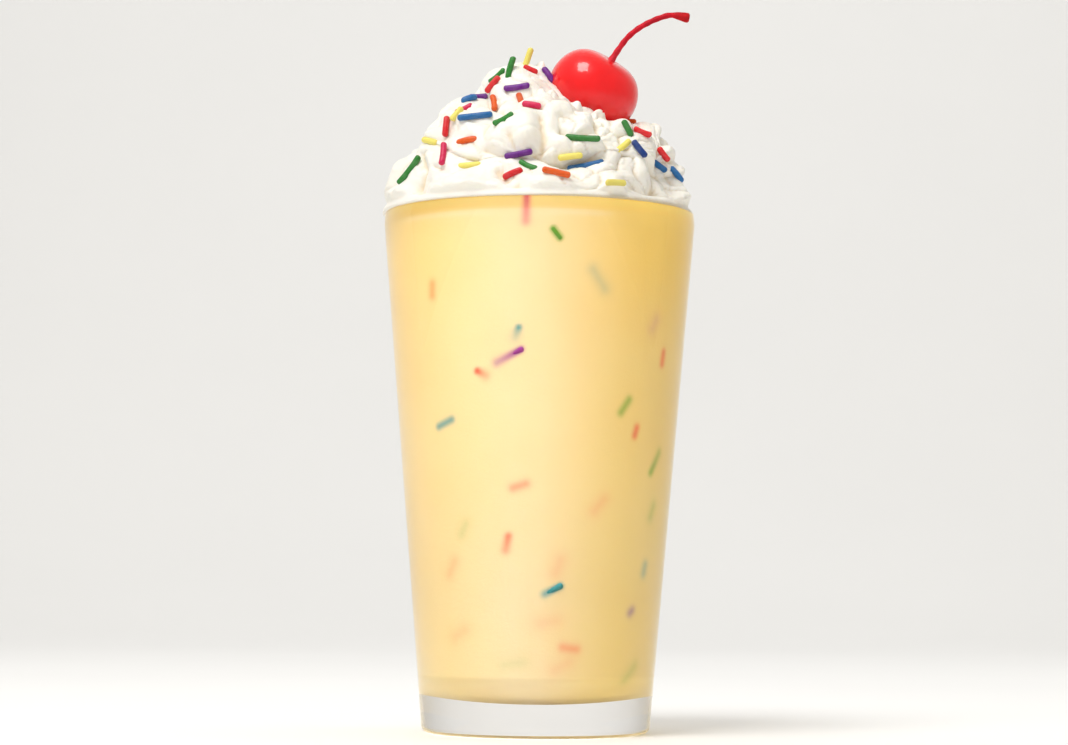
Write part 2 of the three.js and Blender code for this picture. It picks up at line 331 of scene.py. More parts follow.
class SharedEffects:
    """Node groups that several finishes use, each built once."""

    cloud_range: ClassVar[Span] = (0.35, 0.65)
    cloud_detail: ClassVar[float] = 4.0
    grain_detail: ClassVar[float] = 3.0
    grain_roughness: ClassVar[float] = 0.6

    def __init__(self) -> None:
        """Builds the groups."""
        self.mottle = self._mottle()
        self.grain = self._grain()

    def _start(self, name: str, inputs: dict[str, str], output: str, kind: str) -> Wiring:
        """Starts a group.

        Args:
            name: Its name.
            inputs: The kind of each input socket, by its name.
            output: The output socket's name.
            kind: The output socket's kind.

        Returns:
            The group's wiring.
        """
        group = bpy.data.node_groups.new(name, "ShaderNodeTree")
        for label, sort in inputs.items():
            group.interface.new_socket(label, in_out="INPUT", socket_type=f"NodeSocket{sort}")
        group.interface.new_socket(output, in_out="OUTPUT", socket_type=f"NodeSocket{kind}")
        return Wiring(group)

    def _mottle(self) -> NodeTree:
        """Builds the group that clouds a colour with a second one.

        Returns:
            The group.
        """
        inputs = {"Colour": "Color", "Shade": "Color", "Scale": "Float", "Amount": "Float"}
        wiring = self._start("soft_mottle", inputs, "Colour", "Color")
        given = wiring.add("NodeGroupInput").outputs
        place = wiring.add("TexCoord").outputs["Object"]
        clouds = {"Vector": place, "Scale": given["Scale"], "Detail": self.cloud_detail}
        cloud = wiring.add("TexNoise", clouds)
        share = wiring.remap(cloud.outputs[0], self.cloud_range, (0.0, 1.0))
        amount = wiring.add("Math", {0: share, 1: given["Amount"]}, operation="MULTIPLY")
        colour = wiring.blend(amount.outputs[0], given["Colour"], given["Shade"])
        wiring.add("NodeGroupOutput", {"Colour": colour})
        return wiring.tree

    def _grain(self) -> NodeTree:
        """Builds the group that gives fine grain.

        Returns:
            The group.
        """
        wiring = self._start("fine_grain", {"Scale": "Float", "Stretch": "Vector"}, "Height", "Float")
        given = wiring.add("NodeGroupInput").outputs
        place = wiring.add("TexCoord").outputs["Object"]
        spot = wiring.add("VectorMath", {0: place, 1: given["Stretch"]}, operation="MULTIPLY").outputs[0]
        grains = {"Vector": spot, "Scale": given["Scale"]}
        grains |= {"Detail": self.grain_detail, "Roughness": self.grain_roughness}
        wiring.add("NodeGroupOutput", {"Height": wiring.add("TexNoise", grains).outputs[0]})
        return wiring.tree


@dataclass(frozen=True)
class Finish:
    """A clouded surface with fine grain, which every finish starts from.

    Attributes:
        name: The material's name.
        effects: The node groups.
        base: The colour, or None where the piece's own tints give it.
        shade: The colour of the clouds.
        cloud_scale: Clouds to the metre.
        cloud_amount: Strength of the clouds, 0 to 1.
        grain_scale: Grains to the metre.
        grain_depth: Depth of the grain in metres.
        stretch: Scale of the grain along each axis.
        constants: Values that are the same all over the surface, by socket name.
    """

    name: str
    effects: SharedEffects
    base: Colour | None = None
    shade: Colour = (1.0, 1.0, 1.0)
    cloud_scale: float = 1.0
    cloud_amount: float = 0.0
    grain_scale: float = 1.0
    grain_depth: float = 0.0
    stretch: Triple = (1, 1, 1)
    constants: ClassVar[Sockets] = {}

    def material(self) -> Material:
        """Makes the material.

        Returns:
            The material.
        """
        material = bpy.data.materials.new(self.name)
        material.use_nodes = True
        wiring = Wiring(material.node_tree)
        shader = material.node_tree.nodes["Principled BSDF"]
        wiring.feed(shader, self.constants | self.changing(wiring))
        return material

    def changing(self, wiring: Wiring) -> Sockets:
        """Makes what changes over the surface, by the name of the shader's socket."""
        return {"Base Color": self.clouded(wiring), "Normal": self.relief(wiring)}

    def clouded(self, wiring: Wiring) -> NodeSocket:
        """Clouds the colour with the shade.

        Args:
            wiring: The material's wiring.

        Returns:
            The clouded colour.
        """
        inputs = {"Shade": (*self.shade, 1.0), "Scale": self.cloud_scale, "Amount": self.cloud_amount}
        if self.base is None:
            inputs["Colour"] = wiring.add("Attribute", attribute_name="tint").outputs["Color"]
        else:
            inputs["Colour"] = (*self.base, 1.0)
        return wiring.group(self.effects.mottle, inputs)

    def grained(self, wiring: Wiring) -> NodeSocket:
        """Gives the height of the grain."""
        return wiring.group(self.effects.grain, {"Scale": self.grain_scale, "Stretch": self.stretch})

    def relief(self, wiring: Wiring) -> NodeSocket:
        """Gives the normal of the grain."""
        bump = {"Height": self.grained(wiring), "Distance": self.grain_depth, "Strength": 1.0}
        return wiring.add("Bump", bump).outputs[0]


@dataclass(frozen=True)
class GlassFinish(Finish):
    """Clear glass with faint smears."""

    base: Colour = (0.995, 0.99, 0.985)
    grain_scale: float = 45.0
    stretch: Triple = (1, 1, 0.35)
    smear_from: Span = (0.55, 0.75)
    smear: Span = (0.0, 0.035)
    constants: ClassVar[Sockets] = {"Transmission Weight": 1.0, "IOR": 1.5}

    def changing(self, wiring: Wiring) -> Sockets:
        """Gives the colour, and a roughness that rises in the smears."""
        rough = wiring.remap(self.grained(wiring), self.smear_from, self.smear)
        return {"Base Color": (*self.base, 1.0), "Roughness": rough}


@dataclass(frozen=True)
class ShakeFinish(Finish):
    """Thick vanilla drink, seen against the glass."""

    shade: Colour = linear(240, 192, 96)
    cloud_scale: float = 28.0
    cloud_amount: float = 0.14
    grain_scale: float = 900.0
    grain_depth: float = 0.00006
    constants: ClassVar[Sockets] = {
        "Roughness": 0.5,
        "Specular IOR Level": 0.1,
        "Subsurface Weight": 0.1,
        "Subsurface Radius": (1.0, 0.7, 0.35),
        "Subsurface Scale": 0.003,
    }


@dataclass(frozen=True)
class CreamFinish(Finish):
    """Whipped cream with fine bubbles, and painted shade that makes it warmer and darker in its folds."""

    base: Colour = (0.93, 0.90, 0.83)
    # Painted shade: the colour that the folds take.
    fold_shade: Colour = (0.84, 0.73, 0.56)
    shade: Colour = (0.90, 0.87, 0.80)
    cloud_scale: float = 60.0
    cloud_amount: float = 0.35
    grain_scale: float = 1600.0
    grain_depth: float = 0.00012
    constants: ClassVar[Sockets] = {
        "Roughness": 0.42,
        "Specular IOR Level": 0.4,
        "Subsurface Weight": 0.25,
        "Subsurface Radius": (1.0, 0.8, 0.55),
        "Subsurface Scale": 0.003,
    }

    def clouded(self, wiring: Wiring) -> NodeSocket:
        """Clouds the colour, and paints warm shade into the folds."""
        hollow = wiring.add("Attribute", attribute_name="hollow").outputs["Fac"]
        return wiring.blend(hollow, super().clouded(wiring), (*self.fold_shade, 1.0))


@dataclass(frozen=True)
class SprinkleFinish(Finish):
    """Waxy sugar in the colour of each sprinkle, with a little dust."""

    shade: Colour = (0.85, 0.80, 0.78)
    cloud_scale: float = 700.0
    cloud_amount: float = 0.05
    grain_scale: float = 2200.0
    grain_depth: float = 0.00008
    constants: ClassVar[Sockets] = {
        "Roughness": 0.38,
        "Specular IOR Level": 0.25,
        "Subsurface Weight": 0.12,
        "Subsurface Radius": (1.0, 0.8, 0.8),
        "Subsurface Scale": 0.001,
    }


@dataclass(frozen=True)
class CherrySkin(Finish):
    """Bright syrup-wet cherry skin."""

    base: Colour = (0.90, 0.006, 0.010)
    shade: Colour = (0.76, 0.004, 0.008)
    cloud_scale: float = 130.0
    cloud_amount: float = 0.6
    grain_scale: float = 420.0
    grain_depth: float = 0.0001
    constants: ClassVar[Sockets] = {
        "Roughness": 0.3,
        "Specular IOR Level": 0.25,
        "Coat Weight": 0.6,
        "Coat Roughness": 0.02,
        "Subsurface Weight": 0.85,
        "Subsurface Radius": (1.0, 0.16, 0.14),
        "Subsurface Scale": 0.009,
    }


@dataclass(frozen=True)
class StemSkin(Finish):
    """Stained stem with streaks along it."""

    shade: Colour = linear(150, 18, 32)
    cloud_scale: float = 520.0
    cloud_amount: float = 0.55
    grain_scale: float = 900.0
    grain_depth: float = 0.0002
    stretch: Triple = (0.4, 1, 0.6)
    constants: ClassVar[Sockets] = {"Roughness": 0.5, "Specular IOR Level": 0.12}


@dataclass(frozen=True)
class FloorFinish(Finish):
    """Pale, faintly clouded floor."""

    base: Colour = (0.93, 0.935, 0.94)
    shade: Colour = (0.90, 0.905, 0.91)
    cloud_scale: float = 3.0
    cloud_amount: float = 0.5
    constants: ClassVar[Sockets] = {"Roughness": 0.7, "Specular IOR Level": 0.2}

    def changing(self, wiring: Wiring) -> Sockets:
        """Gives the clouded colour alone, without grain."""
        return {"Base Color": self.clouded(wiring)}


def make_object(name: str, points: Array, faces: list[list[int]], finish: Finish) -> Object:
    """Makes a smooth object.

    Args:
        name: Its name.
        points: Its points, in metres.
        faces: Corner numbers of each face.
        finish: Its finish.

    Returns:
        The object.
    """
    mesh = bpy.data.meshes.new(name)
    mesh.from_pydata(points.tolist(), [], faces)
    mesh.shade_smooth()
    mesh.materials.append(finish.material())
    item = bpy.data.objects.new(name, mesh)
    bpy.context.scene.collection.objects.link(item)
    return item


def make_piece(name: str, shell: Shell, finish: Finish) -> Object:
    """Makes a smooth piece that rides on the object.

    Args:
        name: The piece's name.
        shell: Its mesh, in millimetres.
        finish: Its finish.

    Returns:
        The piece.
    """
    piece = make_object(name, shell.points * MM, shell.faces, finish)
    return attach(piece, "root")


def paint(piece: Object, colours: Array) -> None:
    """Stores a colour at each point of a piece.

    Args:
        piece: The piece.
        colours: One linear colour a point.
    """
    layer = piece.data.color_attributes.new("tint", "FLOAT_COLOR", "POINT")
    whole = np.hstack([colours, np.ones((len(colours), 1))]).astype(np.float32)
    layer.data.foreach_set("color", whole.ravel())


@dataclass(frozen=True)
class Tumbler:
    """The tall glass with its thick foot, in millimetres.

    The recess slopes down in steps of its edge from its radius, each with a share of its depth.
    """

    height: float = 149.0
    rim_radius: float = 45.0
    foot_radius: float = 32.3
    foot_round: float = 2.2
    rim_wall: float = 2.4
    foot_wall: float = 3.4
    floor: float = 9.5
    bowl_depth: float = 7.5
    recess_radius: float = 24.0
    recess_depth: float = 1.0
    recess_edge: float = 0.7
    recess_slope: tuple[Span, ...] = ((-2, 1.0), (-1, 0.75), (0, 0.05), (1, 0.0))
    bead: float = 4.4
    bead_start: float = 0.3
    wall_lean: float = 0.09
    wall_margin: float = 2.0
    foot_margin: float = 1.0
    segments: int = 192
    bowl_rows: int = 28
    wall_rows: int = 40
    foot_rows: int = 12
    swell_rows: int = 14
    roll_rows: int = 10

    def outer(self, height: Array) -> Array:
        """Gives the outer radius at a height."""
        return self.foot_radius + (self.rim_radius - self.foot_radius) * height / self.height

    def inner(self, height: Array) -> Array:
        """Gives the inner radius at a height."""
        share = (height - self.floor) / (self.height - self.floor)
        return self.outer(height) - self.foot_wall - (self.rim_wall - self.foot_wall) * share

    def hollow(self, top: float, grow: float, rows: int) -> Array:
        """Gives the profile of the glass's inside, from the axis up to a level.

        Args:
            top: The level.
            grow: How far the profile reaches into the wall.
            rows: Number of points on the straight wall.

        Returns:
            Radius and height of each point.
        """
        start = self.floor + self.bowl_depth
        reach = (self.inner(start) + grow, self.bowl_depth + grow)
        bowl = arc((0, start), reach, np.linspace(-QUARTER, 0, self.bowl_rows))
        bowl[0, 0] = 0
        rise = np.linspace(start, top, rows)[1:]
        return np.vstack([bowl, np.stack([self.inner(rise) + grow, rise], axis=-1)])

    def profile(self) -> Array:
        """Gives the glass's whole profile.

        Returns:
            Radius and height of each point, from the axis under the foot to the axis inside.
        """
        lip = self.rim_wall / 2
        crest = self.rim_radius - lip
        heel = self.outer(self.foot_round) - self.foot_round
        neck = self.height - self.bead
        edge, depth = self.recess_edge, self.recess_depth
        slope = [(self.recess_radius + step * edge, share * depth) for step, share in self.recess_slope]
        recess = [(0, depth), (self.recess_radius / 2, depth), *slope, (heel - self.foot_margin, 0)]
        turns = np.linspace(-QUARTER, -self.wall_lean, self.foot_rows)
        foot = arc((heel, self.foot_round), (self.foot_round, self.foot_round), turns)
        rise = np.linspace(self.foot_round + self.wall_margin, neck - self.bead_start, self.wall_rows)
        rise = np.append(rise, neck)
        wall = np.stack([self.outer(rise), rise], axis=-1)
        turns = np.linspace(0, QUARTER, self.swell_rows)[1:]
        swell = arc((crest, neck), (wall[-1, 0] - crest, self.bead), turns)
        turns = np.linspace(QUARTER, math.pi, self.roll_rows)[1:]
        roll = arc((crest, self.height - lip), (lip, lip), turns)
        inside = self.hollow(self.height - lip - self.wall_margin, 0, self.wall_rows)[::-1]
        return np.vstack([recess, foot, wall, swell, roll, inside])

    def build(self, finish: GlassFinish) -> Object:
        """Makes the glass.

        Args:
            finish: Its finish.

        Returns:
            The piece.
        """
        shell = lathe(self.profile(), self.segments)
        piece = make_piece("tumbler_glass", shell, finish)
        piece.visible_shadow = False
        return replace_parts(piece, "tumbler")


@dataclass(frozen=True)
class SeenSprinkle:
    """A sprinkle where the view shows it, in millimetres.

    Attributes:
        tint: Its colour.
        across: Its place across the view, at the axis.
        height: Its height in the view, at the axis, above the foot in the drink or the rim on the cream.
        turn: Its turn from level, in degrees.
        length: Its length.
        depth: How far it lies behind the drink's face.
        dip: How much deeper its end lies than its middle.
        stands: Whether it stands up from the cream.
    """

    tint: Tint
    across: float
    height: float
    turn: float
    length: float
    depth: float = 0.0
    dip: float = 0.0
    stands: bool = False


SUNK_IN_VIEW = tuple(SeenSprinkle(*row) for row in (
    (Tint.PINK, -3.9, 150.0, 88, 8.5, 0.8, -0.5), (Tint.LEAF, 4.9, 143.0, -52, 4.8, 0.1),
    (Tint.TEAL, 17.2, 129.8, -54, 8.0, 2.9), (Tint.ORANGE, -30.7, 126.3, 85, 5.0, 1.5),
    (Tint.TEAL, -6.3, 114.2, 70, 4.6, 1.2, -1.2), (Tint.VIOLET, -8.6, 107.4, 28, 9.4, 0.5, -0.7),
    (Tint.ROSE, -16.4, 102.4, -28, 4.4, 0.8, 0.9), (Tint.TEAL, -26.6, 88.0, 20, 7.0, 0.4),
    (Tint.VIOLET, 33.2, 117.0, 60, 5.0, 3.6), (Tint.ROSE, 35.6, 107.2, 85, 5.0, 0.8),
    (Tint.LEAF, 24.9, 93.3, 55, 6.2, 0.8), (Tint.ROSE, 28.0, 86.0, 75, 4.2, 0.6),
    (Tint.LEAF, 33.5, 77.2, 58, 8.4, 1.1, 0.5), (Tint.ROSE, -5.2, 70.2, 18, 5.4, 1.4),
    (Tint.ROSE, 17.7, 64.9, 50, 6.0, 3.7), (Tint.LEAF, 32.7, 63.3, 70, 5.0, 2.8),
    (Tint.LEAF, -21.0, 57.8, 60, 5.0, 3.3), (Tint.ROSE, -8.6, 53.9, 78, 5.6, 0.9, -0.4),
    (Tint.ORANGE, -24.2, 46.8, 60, 6.0, 3.2), (Tint.ROSE, 6.1, 47.3, 70, 5.6, 3.9),
    (Tint.TEAL, 30.6, 46.8, 80, 4.2, 1.8), (Tint.TEAL, 4.5, 40.6, 28, 6.4, 0.0, -0.6),
    (Tint.PURPLE, 26.9, 34.7, 40, 2.8, 1.3), (Tint.ROSE, 9.5, 24.1, -8, 5.6, 1.5),
    (Tint.ROSE, 7.3, 19.0, 30, 6.0, 4.2), (Tint.ORANGE, -21.8, 28.1, 30, 6.0, 4.0),
    (Tint.ROSE, 3.4, 31.5, 10, 6.0, 4.4), (Tint.LEAF, 26.7, 17.4, 45, 7.0, 3.2),
    (Tint.LEAF, -6.6, 19.6, 10, 7.0, 4.4),
))


@dataclass(frozen=True)
class PlacedSprinkle:
    """A sprinkle in its place, in millimetres.

    Attributes:
        tint: Its colour.
        spot: The point of the drink's or the cream's face that it lies at.
        heading: The direction that it lies in.
        outward: The direction out of the face.
        length: Its length.
        depth: How far it lies behind the face.
        dip: How much deeper its end lies than its middle.
    """

    tint: Tint
    spot: Array
    heading: Array
    outward: Array
    length: float
    depth: float = 0.0
    dip: float = 0.0


@dataclass(frozen=True)
class Rod:
    """A sprinkle: a short rod with rounded ends and a slight bend, in millimetres."""

    radius: float = 0.9
    end: float = 0.75
    sides: int = 14
    cap_rows: int = 5
    body_rows: int = 4

    def shell(self, sprinkle: PlacedSprinkle, middle: Array, side: Array, bend: float) -> Shell:
        """Makes one rod.

        Args:
            sprinkle: The sprinkle, which gives its heading and length.
            middle: The rod's middle.
            side: A direction across it, which it bends towards.
            bend: How far its middle bends out.

        Returns:
            The rod.
        """
        heading, length = unit(sprinkle.heading), sprinkle.length
        side = unit(side - heading * (side @ heading))
        other = np.cross(heading, side)
        turn = np.linspace(0, QUARTER, self.cap_rows + 1)[1:]
        cap = self.end * (1 - np.cos(turn))
        body = np.linspace(-0.5, 0.5, self.body_rows + 2)[1:-1] * (length - 2 * self.end)
        along = np.concatenate([cap - length / 2, body, length / 2 - cap[::-1]])
        reach = np.concatenate([np.sin(turn), np.ones(self.body_rows), np.sin(turn)[::-1]]) * self.radius
        angle = np.linspace(0, TAU, self.sides, endpoint=False)
        ring = side * np.cos(angle)[:, None] + other * np.sin(angle)[:, None]
        bow = bend * (1 - (2 * along / length) ** 2)
        line = middle + along[:, None] * heading + bow[:, None] * side
        rings = line[:, None] + reach[:, None, None] * ring
        return skin(rings, middle - heading * length / 2, middle + heading * length / 2)

    def build(self, name: str, slot: str, rods: list[tuple[Shell, Array]], finish: Finish) -> Object:
        """Makes one piece of many rods.

        Args:
            name: The piece's name.
            slot: The record's material slot; not used.
            rods: Each rod with its colour.
            finish: Their finish.

        Returns:
            The piece.
        """
        piece = make_piece(name, joined([shell for shell, _ in rods]), finish)
        paint(piece, np.vstack([np.tile(colour, (len(shell.points), 1)) for shell, colour in rods]))
        return piece


@dataclass(frozen=True)
class Shake:
    """The drink that fills the glass, and the sprinkles sunk in it, in millimetres and degrees.

    The painted light shares go by the azimuth from the front: the pale colour paints light on the front and
    left and shade on the right. The painted light and shade of brightness go by the height.
    """

    glass: Tumbler
    rod: Rod
    level: float = 148.0
    reach: float = 0.12
    columns: int = 400
    rows: int = 205
    lid_rows: int = 13
    glass_index: float = 1.5
    view_rounds: int = 6
    view_edge: float = 0.995
    gold: Colour = linear(251, 223, 142)
    pale: Colour = linear(255, 234, 188)
    amber: Colour = linear(254, 219, 117)
    amber_rise: Span = (103.0, 136.0)
    # Painted light: the pale colour's share by azimuth makes the drink lighter where light falls on the front
    # and left, and darker amber where shade falls on the right.
    painted_light_shares: tuple[Span, ...] = (
        (-180, 0.35), (-120, 0.5), (-79, 0.72), (-60, 0.58), (-48, 0.52), (-32, 0.64), (-11, 0.95), (2, 0.9),
        (13, 0.66), (25, 0.38), (35, 0.18), (45, 0.06), (60, 0.04), (80, 0.12), (120, 0.2), (180, 0.35),
    )
    # Painted light and shade: the drink's brightness by height, raised under the rim and at the bowl's brim
    # where shade falls, and lowered lower down.
    painted_light_by_height: tuple[Span, ...] = (
        (9, 0.94), (12.5, 0.94), (14.2, 0.97), (15.2, 1.015), (16.3, 1.015), (17.0, 0.95),
        (38, 0.90), (75, 0.955), (125, 0.97), (141, 0.97), (145, 1.03), (148, 1.22),
    )
    swirl_size: float = 9.0
    swirl_share: float = 0.05
    swirl_squash: float = 0.45
    warp_size: float = 17.0
    warp: float = 3.0
    # Painted light: on the front, above this rise, part of the painted light is cut away, as the top edge of
    # a painted reflection under the rim.
    painted_light_cut_rise: Span = (144.3, 145.1)
    painted_light_cut_sides: Span = (50.0, 75.0)
    painted_light_cut_share: float = 0.6
    # Painted highlight: a thin pale glint line just under the rim on the front.
    glint_height: float = 143.58
    glint_width: float = 0.7
    glint_share: float = 0.3
    glint_left: Span = (-66.0, -54.0)
    glint_right: Span = (22.0, 30.0)
    stain_blur: float = 0.21
    stain_spread: float = 0.22
    stain_fade: float = 0.32
    sunk_bend: float = 0.1
    sunk_share: float = 0.78
    back_count: int = 26
    back_around: Span = (100.0, 260.0)
    back_heights: Span = (20.0, 142.0)
    back_turns: Span = (0.0, 360.0)
    back_lengths: Span = (4.4, 8.4)
    back_depths: Span = (0.0, 4.0)
    back_dip: float = 0.4

    def place(self, azimuth: float, height: float) -> Array:
        """Gives the point on the drink's face at an azimuth from the front and a height."""
        radius = self.glass.inner(height) + self.reach
        return np.array([radius * math.sin(azimuth), -radius * math.cos(azimuth), height])

    def seen(self, across: float, height: float) -> Span:
        """Finds the place on the drink that the wall shows at a point of the view.

        Args:
            across: Distance across the view, at the axis.
            height: Height in the view, at the axis.

        Returns:
            Azimuth from the front, and height.
        """
        azimuth, level = 0.0, height
        for _ in range(self.view_rounds):
            outer, inner = self.glass.outer(level), self.glass.inner(level)
            near = -EYE[1] - outer * math.cos(azimuth)
            side = min(across * near / -EYE[1], self.view_edge * outer)
            bent = math.asin(side / self.glass_index / inner) - math.asin(side / self.glass_index / outer)
            azimuth = math.asin(side / outer) + bent
            level = EYE[2] + (height - EYE[2]) * (-EYE[1] - inner * math.cos(azimuth)) / -EYE[1]
        return azimuth, level

    def sink(self, tint: Tint, spot: Span, turn: float, size: Triple) -> PlacedSprinkle:
        """Places one sunk sprinkle.

        Args:
            tint: Its colour.
            spot: Azimuth from the front, and height.
            turn: Its turn from level.
            size: Its length, depth and dip.

        Returns:
            The sprinkle in its place.
        """
        azimuth, height = spot
        level = np.array([math.cos(azimuth), math.sin(azimuth), 0])
        face = self.place(azimuth, height)
        upward = self.place(azimuth, height + 1) - face
        angle = math.radians(turn)
        heading = unit(level * math.cos(angle) + upward * math.sin(angle))
        return PlacedSprinkle(tint, face, heading, unit(face * [1, 1, 0]), *size)

    def sunk(self) -> list[PlacedSprinkle]:
        """Places every sunk sprinkle.

        Returns:
            The sprinkles in their places.
        """
        placed = []
        for item in SUNK_IN_VIEW:
            size = (item.length, item.depth, item.dip)
            placed.append(self.sink(item.tint, self.seen(item.across, item.height), item.turn, size))
        for number in range(self.back_count):
            azimuth = math.radians(spread(number, AROUND_STEP, *self.back_around))
            height = spread(number, RISE_STEP, *self.back_heights)
            length = spread(number, LENGTH_STEP, *self.back_lengths)
            size = (length, spread(number, DEPTH_STEP, *self.back_depths), self.back_dip)
            tint = BACK_TINTS[number % len(BACK_TINTS)]
            turn = spread(number, TURN_STEP, *self.back_turns)
            placed.append(self.sink(tint, (azimuth, height), turn, size))
        return placed

    def stain(self, points: Array, item: PlacedSprinkle) -> Array:
        """Works out how strongly a sunk sprinkle shows through the drink's face.

        Args:
            points: Points of the drink.
            item: The sprinkle.

        Returns:
            The sprinkle's share of the colour at each point.
        """
        half = item.heading * (item.length / 2 - self.rod.radius)
        offset = points - item.spot
        along = np.clip(offset @ half / (half @ half), -1, 1)
        away = np.linalg.norm(offset - along[:, None] * half, axis=1)
        below = np.clip(item.depth + item.dip * along, 0, None)
        edge = (away - self.rod.radius) / (self.stain_blur + self.stain_spread * below)
        return np.exp(-self.stain_fade * below) * (1 - np.tanh(edge / 2)) / 2

    def colours(self, points: Array) -> Array:
        """Works out the drink's colour, with painted light and shade by azimuth and height and a painted
        glint under the rim, clouded and stained where a sprinkle lies behind its face.

        Args:
            points: Points of the drink.

        Returns:
            One linear colour a point.
        """
        height = points[:, 2]
        azimuth = np.degrees(np.arctan2(points[:, 0], -points[:, 1]))
        warped = points * [1, 1, self.swirl_squash] + winding(points, self.warp_size)[:, None] * self.warp
        # Painted light and shade: the pale colour's share by azimuth.
        share = np.interp(azimuth, *np.array(self.painted_light_shares).T)
        share += self.swirl_share * winding(warped, self.swirl_size)
        # Painted light: the top edge of the painted reflection, just under the rim on the front.
        front = 1 - smoothstep(np.abs(azimuth), *self.painted_light_cut_sides)
        share *= 1 - self.painted_light_cut_share * front * smoothstep(height, *self.painted_light_cut_rise)
        # Painted highlight: a thin glint just under the rim.
        glint = bell(height - self.glint_height, self.glint_width)
        glint *= smoothstep(azimuth, *self.glint_left) * (1 - smoothstep(azimuth, *self.glint_right))
        share = np.clip(share + self.glint_share * glint, 0, 1)[:, None]
        upper = smoothstep(height, *self.amber_rise)[:, None]
        colours = mixed(mixed(self.gold, self.amber, upper), self.pale, share)
        # Painted light and shade by height.
        colours *= np.interp(height, *np.array(self.painted_light_by_height).T)[:, None]
        for item in self.sunk():
            colours = mixed(colours, item.tint.value, self.stain(points, item)[:, None])
        return colours

    def build(self, finish: ShakeFinish) -> Object:
        """Makes the drink.

        Args:
            finish: Its finish.

        Returns:
            The piece.
        """
        wall = self.glass.hollow(self.level, self.reach, self.rows)
        lid = np.linspace(wall[-1], [0, self.level], self.lid_rows + 1)[1:]
        shell = lathe(np.vstack([wall, lid]), self.columns)
        piece = make_piece("vanilla_shake", shell, finish)
        paint(piece, self.colours(shell.points))
        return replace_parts(piece, "shake")

    def build_sunk(self, finish: SprinkleFinish) -> Object:
        """Makes the sprinkles in the drink.

        Args:
            finish: Their finish.

        Returns:
            The piece.
        """
        rods = []
        for item in self.sunk():
            middle = item.spot - item.outward * (self.sunk_share * self.rod.radius + item.depth)
            tilted = replace(item, heading=item.heading - item.outward * item.dip * 2 / item.length)
            shell = self.rod.shell(tilted, middle, item.outward, self.sunk_bend)
            rods.append((shell, np.array(item.tint.value)))
        return self.rod.build("sunk_sprinkles", "vanilla_shake", rods, finish)


@dataclass(frozen=True)
class Lump:
    """A soft swelling of the cream: its place above the rim, radius and height, in millimetres."""

    across: float
    back: float
    up: float
    radius: float
    out: float


@dataclass(frozen=True)
class Curl:
    """A small curl of the cream where the view shows it: its place, radius and height, in millimetres."""

    across: float
    up: float
    radius: float
    out: float


@dataclass(frozen=True)
class Crease:
    """A crease in the cream, where the view shows it, in millimetres.

    Attributes:
        line: Distance across and height above the rim, at the axis, of the points that it runs through.
        width: Half its width.
        depth: Its depth.
    """

    line: tuple[Span, ...]
    width: float
    depth: float


CREASES_IN_VIEW = (
    Crease(((-1.3, 20.6), (3.8, 17.4), (10.1, 17.4), (17.4, 18)), 1.6, 3.4),
    Crease(((-0.2, 28.3), (0.9, 24.1), (0.3, 20.6)), 1.8, 3.0),
    Crease(((-15.7, 34.3), (-12.9, 31.5), (-6.8, 30.8), (-0.2, 30.8)), 1.3, 2.2),
    Crease(((6.4, 25.7), (9, 23.7), (14.7, 25.2)), 1.3, 2.4),
    Crease(((14.7, 30.3), (16.1, 25.7)), 1.1, 1.8),
    Crease(((31, 21.2), (32.4, 17), (37, 15.4)), 1.3, 2.4),
    Crease(((26.4, 9.8), (30.4, 7.8), (34, 9.4)), 1.7, 3.4),
    Crease(((28.9, 15), (34, 13.4), (39.1, 9.8)), 1.1, 1.7),
    Crease(((-13, 14.4), (-9.9, 11.9)), 1.1, 1.5),
    Crease(((-8.5, 23.8), (-7.4, 20.3)), 1.4, 1.9),
    Crease(((-33.4, 17.4), (-31.6, 13.4), (-34.2, 9.4)), 1.4, 2.2),
    Crease(((-25, 29.5), (-19, 30), (-16.5, 31.8)), 1.1, 1.6),
    Crease(((-16, 20.5), (-11.5, 18.2), (-6, 18.6)), 1.2, 1.6),
    Crease(((-28.5, 14), (-24.5, 12.2), (-20, 16.2)), 1.1, 1.3),
)


